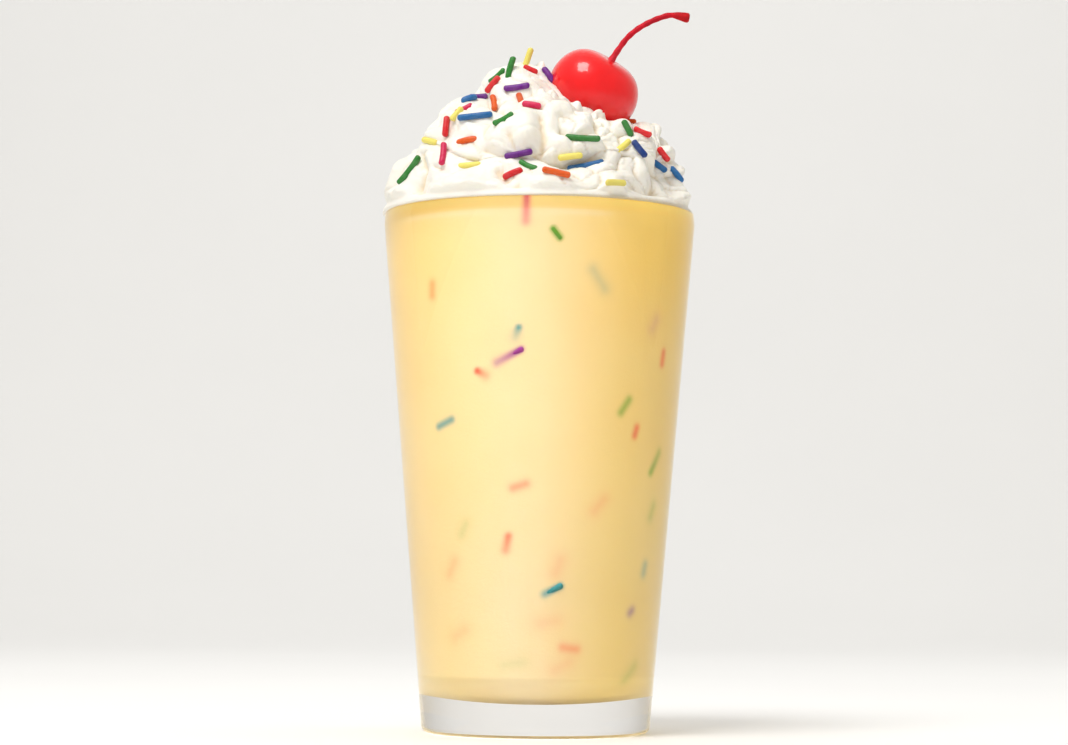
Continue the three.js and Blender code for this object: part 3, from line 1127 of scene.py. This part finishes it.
@dataclass
class WhippedCream:
    """The mound of whipped cream: turns that sag round it, with folds and lumps, in millimetres.

    The outline holds radius and height, each curd a size and a depth, and each wave of the groove a
    count around, a size and a start.
    """

    glass: Tumbler
    outline: tuple[Span, ...] = (
        (45.1, -0.4), (43.9, 2.2), (40.3, 8), (37.4, 14), (33.6, 19.5), (28.4, 25),
        (22.6, 30), (16.4, 34.5), (11, 39), (6, 42.4), (0, 44),
    )
    lumps: tuple[Lump, ...] = (
        Lump(30.5, -3, 23.4, 7.5, 6), Lump(39, -4, 11, 5, 3.4), Lump(24, -21, 17, 7, 2),
        Lump(10, -25, 23, 6, 2), Lump(-4, -27, 22, 7, 2.4), Lump(-22, -24, 16, 8, 1.6),
        Lump(-36, -14, 9, 8, 1.4), Lump(-37, -7, 12, 5, 2.2), Lump(-0.9, -0.6, 43.2, 1, 2.8),
    )
    curls: tuple[Curl, ...] = (
        Curl(-0.4, 36.4, 1.6, 2.0), Curl(3.6, 36.2, 1.8, 2.2), Curl(7.0, 35.4, 1.7, 2.4),
        Curl(10.8, 34.0, 2.0, 2.6), Curl(15.8, 32.4, 2.0, 2.6), Curl(20.4, 30.8, 1.8, 2.4),
        Curl(24.8, 29.4, 1.6, 2.0), Curl(12.5, 29.0, 2.2, 1.6),
    )
    curl_edge: float = 3.0
    crease_edge: float = 1.6
    view_rounds: int = 8
    peak_across: float = -4.8
    edge_inset: float = 1.6
    columns: int = 430
    rows: int = 215
    first_groove: float = 8.0
    turn_height: float = 18.0
    turn_depth: float = 4.2
    turn_level: float = 0.8
    turn_sag: float = 2.0
    groove_wander: float = 0.11
    wander_waves: tuple[Triple, Triple] = ((3, 1.0, 1.0), (8, 0.6, 0.0))
    groove_fill: float = 0.38
    fill_count: int = 5
    broad_size: float = 3.4
    broad_depth: float = 1.2
    fine_size: float = 1.5
    left_fine: float = 0.25
    right_fine: float = 0.55
    fade_height: float = 4.0
    curds: tuple[Span, ...] = ((1.9, 1.6), (0.95, 0.6))
    curd_edge: float = 0.25
    curd_level: float = 0.7
    curd_across: Span = (-4.0, 16.0)
    warp: float = 1.4
    warp_size: float = 4.1
    warp_offsets: Triple = (0, 9, 17)
    press_across: float = 17.0
    press_back: float = -5.0
    press_radius: float = 11.0
    press_depth: float = 7.5
    press_rise: Span = (12.0, 24.0)
    soft_passes: int = 24
    hollow_depths: Span = (0.05, 0.75)
    foot_drop: float = 0.6
    mouth_drop: float = 1.2
    middle_drop: float = 1.4
    mouth_gap: float = 0.1
    mouth_level: float = 1.0
    shell: Shell = field(init=False)

    def swellings(self, places: Array) -> Array:
        """Adds up the lumps and curls.

        Args:
            places: Points above the rim.

        Returns:
            How far they push each point out.
        """
        total = np.zeros(places.shape[:-1])
        for lump in self.lumps:
            away = np.linalg.norm(places - [lump.across, lump.back, lump.up], axis=-1)
            total += lump.out * bell(away, lump.radius)
        for curl in self.curls:
            away = np.linalg.norm(places - self.on_mound(curl.across, curl.up), axis=-1)
            total += curl.out * bell(away, curl.radius, self.curl_edge)
        return total

    def on_mound(self, across: float, up: float) -> Array:
        """Finds the place on the plain mound that the view shows at a point.

        Args:
            across: Distance across the view, at the axis.
            up: Height above the rim in the view, at the axis.

        Returns:
            The place, above the rim.
        """
        eye = EYE - [0, 0, self.glass.height]
        aim = np.array([across, 0, up])
        radii, heights = np.array(self.outline).T
        place = aim
        for _ in range(self.view_rounds):
            radius = np.interp(place[2], heights, radii)
            shift = self.peak_across * (place[2] / heights[-1]) ** 2
            depth = math.sqrt(max(0, radius**2 - (place[0] - shift) ** 2))
            place = eye + (aim - eye) * (1 + depth / eye[1])
        return place

    def creased(self, places: Array) -> Array:
        """Finds the deepest crease at each point.

        Args:
            places: Points above the rim.

        Returns:
            How far the creases draw each point in.
        """
        deepest = np.zeros(places.shape[:-1])
        for crease in CREASES_IN_VIEW:
            line = [self.on_mound(across, up) for across, up in crease.line]
            for start, end in zip(line, line[1:]):
                step = end - start
                along = np.clip((places - start) @ step / (step @ step), 0, 1)
                away = np.linalg.norm(places - start - along[..., None] * step, axis=-1)
                deepest = np.maximum(deepest, crease.depth * bell(away, crease.width, self.crease_edge))
        return deepest

    def curdled(self, places: Array) -> Array:
        """Works out the small lumps with sharp creases between them, most on the right.

        Args:
            places: Points above the rim.

        Returns:
            How far the lumps push each point out.
        """
        offsets = [[offset, 0, 0] for offset in self.warp_offsets]
        warp = np.stack([winding(places + offset, self.warp_size) for offset in offsets], axis=-1)
        bent = places + self.warp * warp
        total = np.zeros(places.shape[:-1])
        for size, depth in self.curds:
            lump = np.abs(winding(bent, size))
            total += depth * (lump / (lump + self.curd_edge) - self.curd_level)
        return total * (1 + smoothstep(places[..., 0], *self.curd_across)) / 2

    def rings(self) -> Array:
        """Works out the mound's skin.

        Returns:
            Rings of points from the rim up, above the rim.
        """
        spot, slope = CurveLine(self.outline).at(np.linspace(0, 1, self.rows + 1)[:-1])
        angle = np.linspace(0, TAU, self.columns, endpoint=False)[None, :]
        radius, height = spot[:, :1], spot[:, 1:]
        rise = height / self.outline[-1][1]
        inset = self.edge_inset * (1 - rise) * (1 + np.cos(angle)) / 2
        reach = np.maximum(0, radius - inset)
        out = np.stack([np.cos(angle), np.sin(angle), 0 * angle], axis=-1) + 0 * reach[..., None]
        upward = np.array([0, 0, 1.0])
        level = (height + 0 * angle)[..., None] * upward
        shift = (self.peak_across * rise**2 + 0 * angle)[..., None] * [1.0, 0, 0]
        places = out * reach[..., None] + level + shift
        outward, climb = slope[:, None, :1], slope[:, None, 1:]
        normal = out * climb - outward * upward
        down = -out * outward - climb * upward
        push, sag = self.folds(places, angle)
        skin_points = places + normal * push[..., None] + down * sag[..., None]
        skin_points[..., 2] -= self.pressed(skin_points)
        return skin_points

    def folds(self, places: Array, angle: Array) -> tuple[Array, Array]:
        """Works out the turns, folds, lumps and creases.

        Args:
            places: Points of the plain mound.
            angle: Angle of each column.

        Returns:
            How far each point is pushed out, and how far it sags.
        """
        height = places[..., 2]
        turn = (-angle / TAU) % 1
        waves = [size * np.sin(count * angle + start) for count, size, start in self.wander_waves]
        wander = self.groove_wander * (waves[0] + waves[1])
        lap = (height - self.first_groove) / self.turn_height - turn + wander
        roll = np.sqrt(np.abs(np.sin(math.pi * lap)))
        filled = self.groove_fill * (1 + np.cos(self.fill_count * angle + height / self.broad_size))
        rolled = self.turn_depth * (1 - filled) * (roll - self.turn_level)
        right = (1 + np.cos(angle)) / 2
        fine_depth = self.left_fine + (self.right_fine - self.left_fine) * right
        fine = fine_depth * winding(places, self.fine_size)
        broad = self.broad_depth * winding(places, self.broad_size)
        small = self.curdled(places) - self.creased(places)
        fade = smoothstep(height, 0, self.fade_height)
        push = fade * (rolled + broad + fine + small + self.swellings(places))
        return push, fade * self.turn_sag * roll

    def pressed(self, places: Array) -> Array:
        """Gives the depth to which the cherry has pressed each point down."""
        away = np.hypot(places[..., 0] - self.press_across, places[..., 1] - self.press_back)
        return self.press_depth * bell(away, self.press_radius) * smoothstep(places[..., 2], *self.press_rise)

    def hollows(self, rings: Array) -> Array:
        """Finds how far each point lies in a fold.

        Args:
            rings: The mound's skin.

        Returns:
            0 on the open face to 1 deep in a fold.
        """
        across = np.roll(rings, -1, axis=1) - np.roll(rings, 1, axis=1)
        normal = np.cross(across, np.gradient(rings, axis=0))
        normal /= np.linalg.norm(normal, axis=-1, keepdims=True) + TINY
        soft = rings.copy()
        for _ in range(self.soft_passes):
            padded = np.concatenate([soft[:1], soft, soft[-1:]])
            soft = (np.roll(soft, 1, axis=1) + np.roll(soft, -1, axis=1) + padded[:-2] + padded[2:]) / 4
        return smoothstep(np.sum((soft - rings) * normal, axis=-1), *self.hollow_depths)

    def build(self, finish: CreamFinish) -> Object:
        """Makes the mound.

        Args:
            finish: Its finish.

        Returns:
            The piece.
        """
        rings = self.rings()
        hollow = self.hollows(rings).ravel()
        mouth = self.glass.inner(self.glass.height - self.mouth_level) + self.mouth_gap
        around = unit(rings[0] * [1, 1, 0])
        under = [around * mouth - [0, 0, self.mouth_drop], rings[0] - [0, 0, self.foot_drop]]
        rings = np.concatenate([np.stack(under), rings])
        peak = [self.peak_across, 0, self.outline[-1][1]]
        self.shell = skin(rings, [0, 0, -self.middle_drop], peak)
        self.shell.points[:, 2] += self.glass.height
        piece = make_piece("cream_mound", self.shell, finish)
        # The hollow attribute carries the painted shade of the folds.
        layer = piece.data.attributes.new("hollow", "FLOAT", "POINT")
        depth = np.concatenate([np.zeros(len(under) * self.columns), hollow, [0, 0]]).astype(np.float32)
        layer.data.foreach_set("value", depth)
        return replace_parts(piece, "whipped_cream")


LAID_IN_VIEW = tuple(SeenSprinkle(*row) for row in (
    (Tint.YELLOW, -4.3, 43, 72, 9.6, 0, 0, True), (Tint.GREEN, -8.6, 41.6, 76, 7, 0, 0, True),
    (Tint.GREEN, -12.4, 39.4, 25, 6), (Tint.RED, -13.6, 36.9, 40, 6), (Tint.RED, -3.1, 41.2, -35, 4.5),
    (Tint.PURPLE, -6.9, 36.3, 6, 7.5), (Tint.PURPLE, 2, 39.6, -80, 6), (Tint.ORANGE, -13.4, 31.6, -58, 6),
    (Tint.ORANGE, -6, 32.6, -85, 5), (Tint.MAGENTA, -2.6, 30.9, -15, 5.5), (Tint.PURPLE, -18, 33.2, 3, 5.5),
    (Tint.BLUE, -20.6, 32.4, 50, 5), (Tint.MAGENTA, -22, 29.6, 35, 5.5), (Tint.YELLOW, -24, 28.2, 60, 5),
    (Tint.BLUE, -18.9, 27.6, 4, 10), (Tint.GREEN, -10.6, 26.9, 2, 6.5), (Tint.RED, -27, 24.6, -78, 6.5),
    (Tint.YELLOW, -31.6, 20.3, -20, 6), (Tint.MAGENTA, -28, 16.6, -80, 7.5),
    (Tint.ORANGE, -20.9, 20.3, 2, 6.5), (Tint.GREEN, -37.6, 11.8, 50, 10),
    (Tint.YELLOW, -20.3, 13.2, 0, 6.5), (Tint.PURPLE, -6.3, 16.9, 12, 8), (Tint.GREEN, -3.4, 13.4, -45, 6),
    (Tint.RED, -7.7, 10.9, 12, 6), (Tint.ORANGE, 4.6, 11.4, -10, 8), (Tint.BLUE, 13.2, 13.4, 14, 10.5),
    (Tint.YELLOW, 8.6, 16.4, 4, 7), (Tint.GREEN, 12.3, 21.5, -15, 10), (Tint.YELLOW, 23.7, 19.2, 45, 6.5),
    (Tint.GREEN, 25, 24.4, -70, 5.5), (Tint.RED, 29.4, 23.4, -5, 5.5), (Tint.NAVY, 28.6, 18.6, -52, 6),
    (Tint.RED, 35.4, 17, -40, 5), (Tint.BLUE, 34.2, 13.6, -12, 5.5), (Tint.BLUE, 39, 11.2, -30, 6),
    (Tint.YELLOW, 21.7, 8.6, 3, 6),
))


@dataclass
class Topping:
    """The rainbow sprinkles that lie on the cream, in millimetres."""

    cream: WhippedCream
    rod: Rod
    proud: float = 0.4
    lie: float = 0.88
    feel: float = 2.6
    back_count: int = 30
    back_aim: float = 6.0
    back_rises: Span = (0.1, 0.95)
    back_lengths: Span = (5.5, 9.5)
    bend: float = 0.35
    bend_step: float = 2.4
    side_step: float = 1.7
    shade: float = 0.8
    shade_change: float = 0.08
    shade_step: float = 3.1
    tree: BVHTree = field(init=False)

    def __post_init__(self) -> None:
        """Keeps the cream's skin ready for touching."""
        shell = self.cream.shell
        self.tree = BVHTree.FromPolygons(shell.points.tolist(), shell.faces)

    def touch(self, start: Array, towards: Array) -> tuple[Array, Array] | None:
        """Finds where a line first meets the cream.

        Args:
            start: The line's start.
            towards: A point that the line runs through.

        Returns:
            The place and the cream's outward direction around it, or None where it misses.
        """
        spot = self.tree.ray_cast(Vector(start), Vector(towards - start))[0]
        if spot is None:
            return None
        near = self.tree.find_nearest_range(spot, self.feel)
        normal = sum((found[1] for found in near), Vector()).normalized()
        return np.array(spot), np.array(normal)

    def in_view(self) -> list[PlacedSprinkle]:
        """Places the sprinkles that the view shows.

        Returns:
            The sprinkles in their places.
        """
        placed = []
        for item in LAID_IN_VIEW:
            met = self.touch(EYE, np.array([item.across, 0, self.cream.glass.height + item.height]))
            if met is None:
                LOG.warning("no cream under the sprinkle at %s, %s", item.across, item.height)
                continue
            spot, normal = met
            angle = math.radians(item.turn)
            heading = np.array([math.cos(angle), 0, math.sin(angle)])
            heading -= (0 if item.stands else self.lie) * (heading @ normal) * normal
            placed.append(PlacedSprinkle(item.tint, spot, heading, normal, item.length))
        return placed

    def behind(self) -> list[PlacedSprinkle]:
        """Spreads sprinkles over the cream's back.

        Returns:
            The sprinkles in their places.
        """
        placed = []
        rim = self.cream.glass.height
        aim = np.array([0, 0, rim + self.back_aim])
        for number in range(self.back_count):
            around = spread(number, AROUND_STEP, 0.0, math.pi)
            rise = spread(number, RISE_STEP, *self.back_rises)
            flat = math.sqrt(1 - rise * rise)
            out = np.array([flat * math.cos(around), flat * math.sin(around), rise])
            spot, normal = self.touch(aim + out * 2 * rim, aim)
            level = np.array([-math.sin(around), math.cos(around), 0])
            level -= normal * (level @ normal)
            turn = spread(number, TURN_STEP, 0.0, TAU)
            heading = level * math.cos(turn) + np.cross(normal, level) * math.sin(turn)
            tint = BACK_TINTS[number % len(BACK_TINTS)]
            length = spread(number, LENGTH_STEP, *self.back_lengths)
            placed.append(PlacedSprinkle(tint, spot, heading, normal, length))
        return placed

    def build(self, finish: SprinkleFinish) -> Object:
        """Makes the sprinkles.

        Args:
            finish: Their finish.

        Returns:
            The piece.
        """
        rods = []
        for number, item in enumerate(self.in_view() + self.behind()):
            bend = self.bend * math.sin(self.bend_step * number)
            across = np.cross(item.outward, item.heading)
            side = item.outward + across * math.sin(self.side_step * number)
            shell = self.rod.shell(item, item.spot + item.outward * self.proud, side, bend)
            shade = self.shade + self.shade_change * math.sin(self.shade_step * number)
            rods.append((shell, np.array(item.tint.value) * shade))
        piece = self.rod.build("rainbow_sprinkles", "whipped_cream", rods, finish)
        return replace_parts(piece, "whipped_cream")


@dataclass(frozen=True)
class Cherry:
    """The cherry, and the stem that leaves its cavity, in millimetres and degrees.

    Its flat top, cavity and navel are dents with a depth and a radius.
    """

    middle: Place = (15.3, -1.5, 184.4)
    tilt: float = 31.0
    nod: float = 14.0
    radius: float = 13.2
    flat: Span = (3.0, 9.2)
    cavity: Span = (0.5, 2.2)
    navel: Span = (0.9, 3.0)
    segments: int = 128
    rows: int = 96
    stem_line: tuple[Place, ...] = (
        (20.0, -3.8, 192.2), (22.4, -4.4, 195.9), (24.8, -4.6, 199.1), (27.7, -4.5, 201.7),
        (31, -4.4, 203.7), (34.4, -4.2, 205.2), (37.8, -4, 206), (42.7, -3.6, 205.2),
    )
    stem_rows: int = 90
    stem_sides: int = 24
    stem_radius: float = 0.8
    stem_flare: float = 0.35
    flare_length: float = 2.0
    wave: float = 0.05
    wave_turn: float = 2.1
    ribs: int = 5
    rib_depth: float = 0.05
    knob_radius: float = 1.35
    knob_length: float = 5.0
    knob_ease: float = 3.5
    end_round: float = 0.5
    end_share: float = 0.72
    foot_red: Colour = linear(226, 58, 74)
    middle_red: Colour = linear(208, 24, 44)
    knob_red: Colour = linear(210, 28, 30)
    foot_red_length: float = 9.0
    knob_red_ends: Span = (7.0, 2.0)

    def build(self, finish: CherrySkin) -> Object:
        """Makes the cherry.

        Args:
            finish: Its finish.

        Returns:
            The piece.
        """
        rise = np.linspace(-QUARTER, QUARTER, self.rows)
        reach = self.radius * np.cos(rise)
        reach[[0, -1]] = 0
        dents = [depth * bell(reach, radius) for depth, radius in (self.flat, self.cavity, self.navel)]
        press = np.where(rise > 0, -dents[0] - dents[1], dents[2])
        shell = lathe(np.stack([reach, self.radius * np.sin(rise) + press], axis=-1), self.segments)
        lean = Matrix.Rotation(math.radians(self.tilt), 3, "Y")
        lean = np.array(lean @ Matrix.Rotation(math.radians(self.nod), 3, "X"))
        shell.points = shell.points @ lean.T + self.middle
        piece = make_piece("cherry_fruit", shell, finish)
        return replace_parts(piece, "cherry")

    def stem_reach(self, from_foot: Array, length: float) -> Array:
        """Gives the stem's radius along its length.

        Args:
            from_foot: Distance of each ring from the foot.
            length: The stem's length.

        Returns:
            The radius of each ring.
        """
        to_end = length - from_foot
        knob = smoothstep(self.knob_length - to_end, 0, self.knob_ease)
        reach = self.stem_radius + (self.knob_radius - self.stem_radius) * knob
        reach += self.stem_flare * np.exp(-from_foot / self.flare_length)
        reach += self.wave * np.sin(from_foot * self.wave_turn)
        rounding = np.sqrt(1 - (1 - np.clip(to_end / self.end_round, 0, 1)) ** 2)
        return reach * (self.end_share + (1 - self.end_share) * rounding)

    def build_stem(self, finish: StemSkin) -> Object:
        """Makes the stem with its knob.

        Args:
            finish: Its finish.

        Returns:
            The piece.
        """
        shares = np.linspace(0, 1, self.stem_rows)
        line, slope = CurveLine(self.stem_line).at(shares)
        length = np.sum(np.linalg.norm(np.diff(line, axis=0), axis=1))
        from_foot = shares * length
        angle = np.linspace(0, TAU, self.stem_sides, endpoint=False)
        upward = unit(np.cross(slope, [0, 1.0, 0]))
        sideways = np.cross(slope, upward)[:, None]
        ring = upward[:, None] * np.cos(angle)[:, None] + sideways * np.sin(angle)[:, None]
        ribs = 1 + self.rib_depth * np.sin(self.ribs * angle)[None, :, None]
        rings = line[:, None] + self.stem_reach(from_foot, length)[:, None, None] * ring * ribs
        piece = make_piece("cherry_stem_stalk", skin(rings, line[0], line[-1]), finish)
        to_middle = smoothstep(from_foot, 0, self.foot_red_length)[:, None]
        knob_start, knob_end = length - np.array(self.knob_red_ends)
        to_knob = smoothstep(from_foot, knob_start, knob_end)[:, None]
        colours = mixed(mixed(self.foot_red, self.middle_red, to_middle), self.knob_red, to_knob)
        paint(piece, np.vstack([np.repeat(colours, self.stem_sides, axis=0), colours[:1], colours[-1:]]))
        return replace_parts(piece, "cherry_stem")


class LampUse(Enum):
    """What a lamp lights."""

    ALL = "all"
    BODY = "body"
    DRINK = "drink"
    FLOOR = "floor"


@dataclass(frozen=True)
class Softbox:
    """A flat soft lamp, in metres.

    Attributes:
        name: Its name.
        spot: Where it stands.
        aim: What it faces.
        size: Its width and length.
        glow: Brightness of its face.
        use: What it lights.
        colour: Its colour.
        roll: Its turn about its own axis, in degrees.
    """

    name: str
    spot: Place
    aim: Place
    size: Span
    glow: float
    use: LampUse
    colour: Colour = (1.0, 1.0, 1.0)
    roll: float = 0.0

    def build(self, pieces: dict[LampUse, Object]) -> Object:
        """Makes the lamp.

        Args:
            pieces: The one piece that a lamp lights, for the uses that have one.

        Returns:
            The lamp.
        """
        data = bpy.data.lights.new(self.name, "AREA")
        data.shape = "RECTANGLE"
        data.size, data.size_y = self.size
        data.energy = self.glow * math.pi * self.size[0] * self.size[1]
        data.color = self.colour
        lamp = bpy.data.objects.new(self.name, data)
        bpy.context.scene.collection.objects.link(lamp)
        lamp.matrix_world = aimed(self.spot, self.aim, self.roll)
        lamp.visible_camera = False
        lamp.visible_transmission = False
        lamp.visible_glossy = self.use is LampUse.ALL
        if self.use in pieces:
            lit = bpy.data.collections.new(self.name)
            lit.objects.link(pieces[self.use])
            lamp.light_linking.receiver_collection = lit
        return lamp


@dataclass(frozen=True)
class Studio:
    """The pale floor, the soft light and the camera, in metres and degrees."""

    lamps: tuple[Softbox, ...] = (
        Softbox(
            "key_softbox", (-0.254, -0.381, 0.903), (0, 0, 0.17), (0.36, 0.44), 11.0, LampUse.ALL,
            colour=(1.0, 0.99, 0.97), roll=15.0,
        ),
        Softbox("front_softbox", (-0.95, -1.15, 0.6), (0, 0, 0.1), (1.3, 0.7), 0.55, LampUse.BODY),
        Softbox("right_softbox", (0.8, -1.05, 0.75), (0, 0, 0.16), (0.9, 0.6), 0.6, LampUse.BODY),
        Softbox("drink_fill", (0.8, -0.75, 0.2), (0, 0, 0.1), (0.6, 0.2), 7.2, LampUse.DRINK),
        Softbox("drink_front", (-0.45, -1.2, 0.22), (0, 0, 0.09), (0.9, 0.4), 1.1, LampUse.DRINK),
        Softbox("drink_left", (-1.0, -0.25, 0.25), (0, 0, 0.09), (0.5, 0.3), 3.3, LampUse.DRINK),
        Softbox("drink_back", (0, 1.0, 0.25), (0, 0, 0.09), (1.5, 0.4), 1.6, LampUse.DRINK),
        Softbox("drink_low", (-0.05, -0.5, 0.012), (0, 0, 0.0125), (0.8, 0.02), 2.0, LampUse.DRINK),
        Softbox("floor_fill", (0.7, 0.1, 0.7), (0.12, 0.15, 0), (0.5, 0.5), 1.0, LampUse.FLOOR),
        Softbox("foot_glow", (0, 0, 0.0004), (0, 0.00001, 1.0), (0.066, 0.066), 0.8, LampUse.DRINK),
        Softbox("backdrop_fill", (0, 0.3, 1.6), (0, 1.7, 0.7), (2.0, 0.6), 2.6, LampUse.FLOOR),
    )
    eye: Place = (-0.00123, -0.787, 0.044)
    aim: Place = (-0.00123, 0.0, 0.1027)
    roll: float = 0.47
    focal_pixels: float = 2750.0
    frame_pixels: float = 1068.0
    sky: Colour = (1.0, 0.955, 0.875)
    sky_glow: float = 0.52
    floor_half: float = 5.0
    floor_drop: float = 0.0002
    sweep_start: float = 1.0
    sweep_radius: float = 0.8
    sweep_rows: int = 16
    wall_top: float = 4.0

    def build_floor(self, finish: FloorFinish) -> Object:
        """Makes the floor, which sweeps up behind.

        Args:
            finish: Its finish.

        Returns:
            The floor.
        """
        turns = np.linspace(-QUARTER, 0, self.sweep_rows)
        sweep = arc((self.sweep_start, self.sweep_radius), (self.sweep_radius, self.sweep_radius), turns)
        line = np.vstack([[-self.floor_half, 0], sweep, [sweep[-1, 0], self.wall_top]])
        points = [[x, y, z - self.floor_drop] for y, z in line for x in (-self.floor_half, self.floor_half)]
        faces = [[2 * row, 2 * row + 1, 2 * row + 3, 2 * row + 2] for row in range(len(line) - 1)]
        floor = make_object("pale_floor", np.array(points), faces, finish)
        return floor

    def build_light(self, pieces: dict[LampUse, Object]) -> None:
        """Makes the lamps and the soft sky.

        Args:
            pieces: The one piece that a lamp lights, for the uses that have one.
        """
        for lamp in self.lamps:
            lamp.build(pieces)
        world = bpy.data.worlds.new("soft_sky")
        world.use_nodes = True
        sky = world.node_tree.nodes["Background"]
        sky.inputs["Color"].default_value = (*self.sky, 1.0)
        sky.inputs["Strength"].default_value = self.sky_glow
        bpy.context.scene.world = world
        bpy.context.scene.view_settings.view_transform = "Standard"

    def build_camera(self) -> Object:
        """Makes the camera.

        Returns:
            The camera.
        """
        data = bpy.data.cameras.new("view")
        data.lens = data.sensor_width * self.focal_pixels / self.frame_pixels
        camera = bpy.data.objects.new("view", data)
        bpy.context.scene.collection.objects.link(camera)
        camera.matrix_world = aimed(self.eye, self.aim, self.roll)
        bpy.context.scene.camera = camera
        return camera


def main() -> None:
    """Builds the milkshake and the studio around it."""
    logging.basicConfig(level=logging.INFO, format="%(name)s: %(message)s")
    effects = SharedEffects()
    glass, rod = Tumbler(), Rod()
    shake, cream, cherry = Shake(glass, rod), WhippedCream(glass), Cherry()
    sprinkle_finish = SprinkleFinish("sugar_sprinkles", effects)
    tumbler = glass.build(GlassFinish("clear_glass", effects))
    drink = shake.build(ShakeFinish("vanilla_drink", effects))
    pieces = [
        tumbler,
        drink,
        shake.build_sunk(sprinkle_finish),
        cream.build(CreamFinish("cream_foam", effects)),
        Topping(cream, rod).build(sprinkle_finish),
        cherry.build(CherrySkin("wet_cherry", effects)),
        cherry.build_stem(StemSkin("stained_stem", effects)),
    ]
    for piece in pieces:
        LOG.info("%s: %d faces", piece.name, len(piece.data.polygons))
    studio = Studio()
    floor = studio.build_floor(FloorFinish("pale_floor", effects))
    studio.build_light({LampUse.DRINK: drink, LampUse.FLOOR: floor})
    studio.build_camera()


if __name__ == "__main__":
    main()
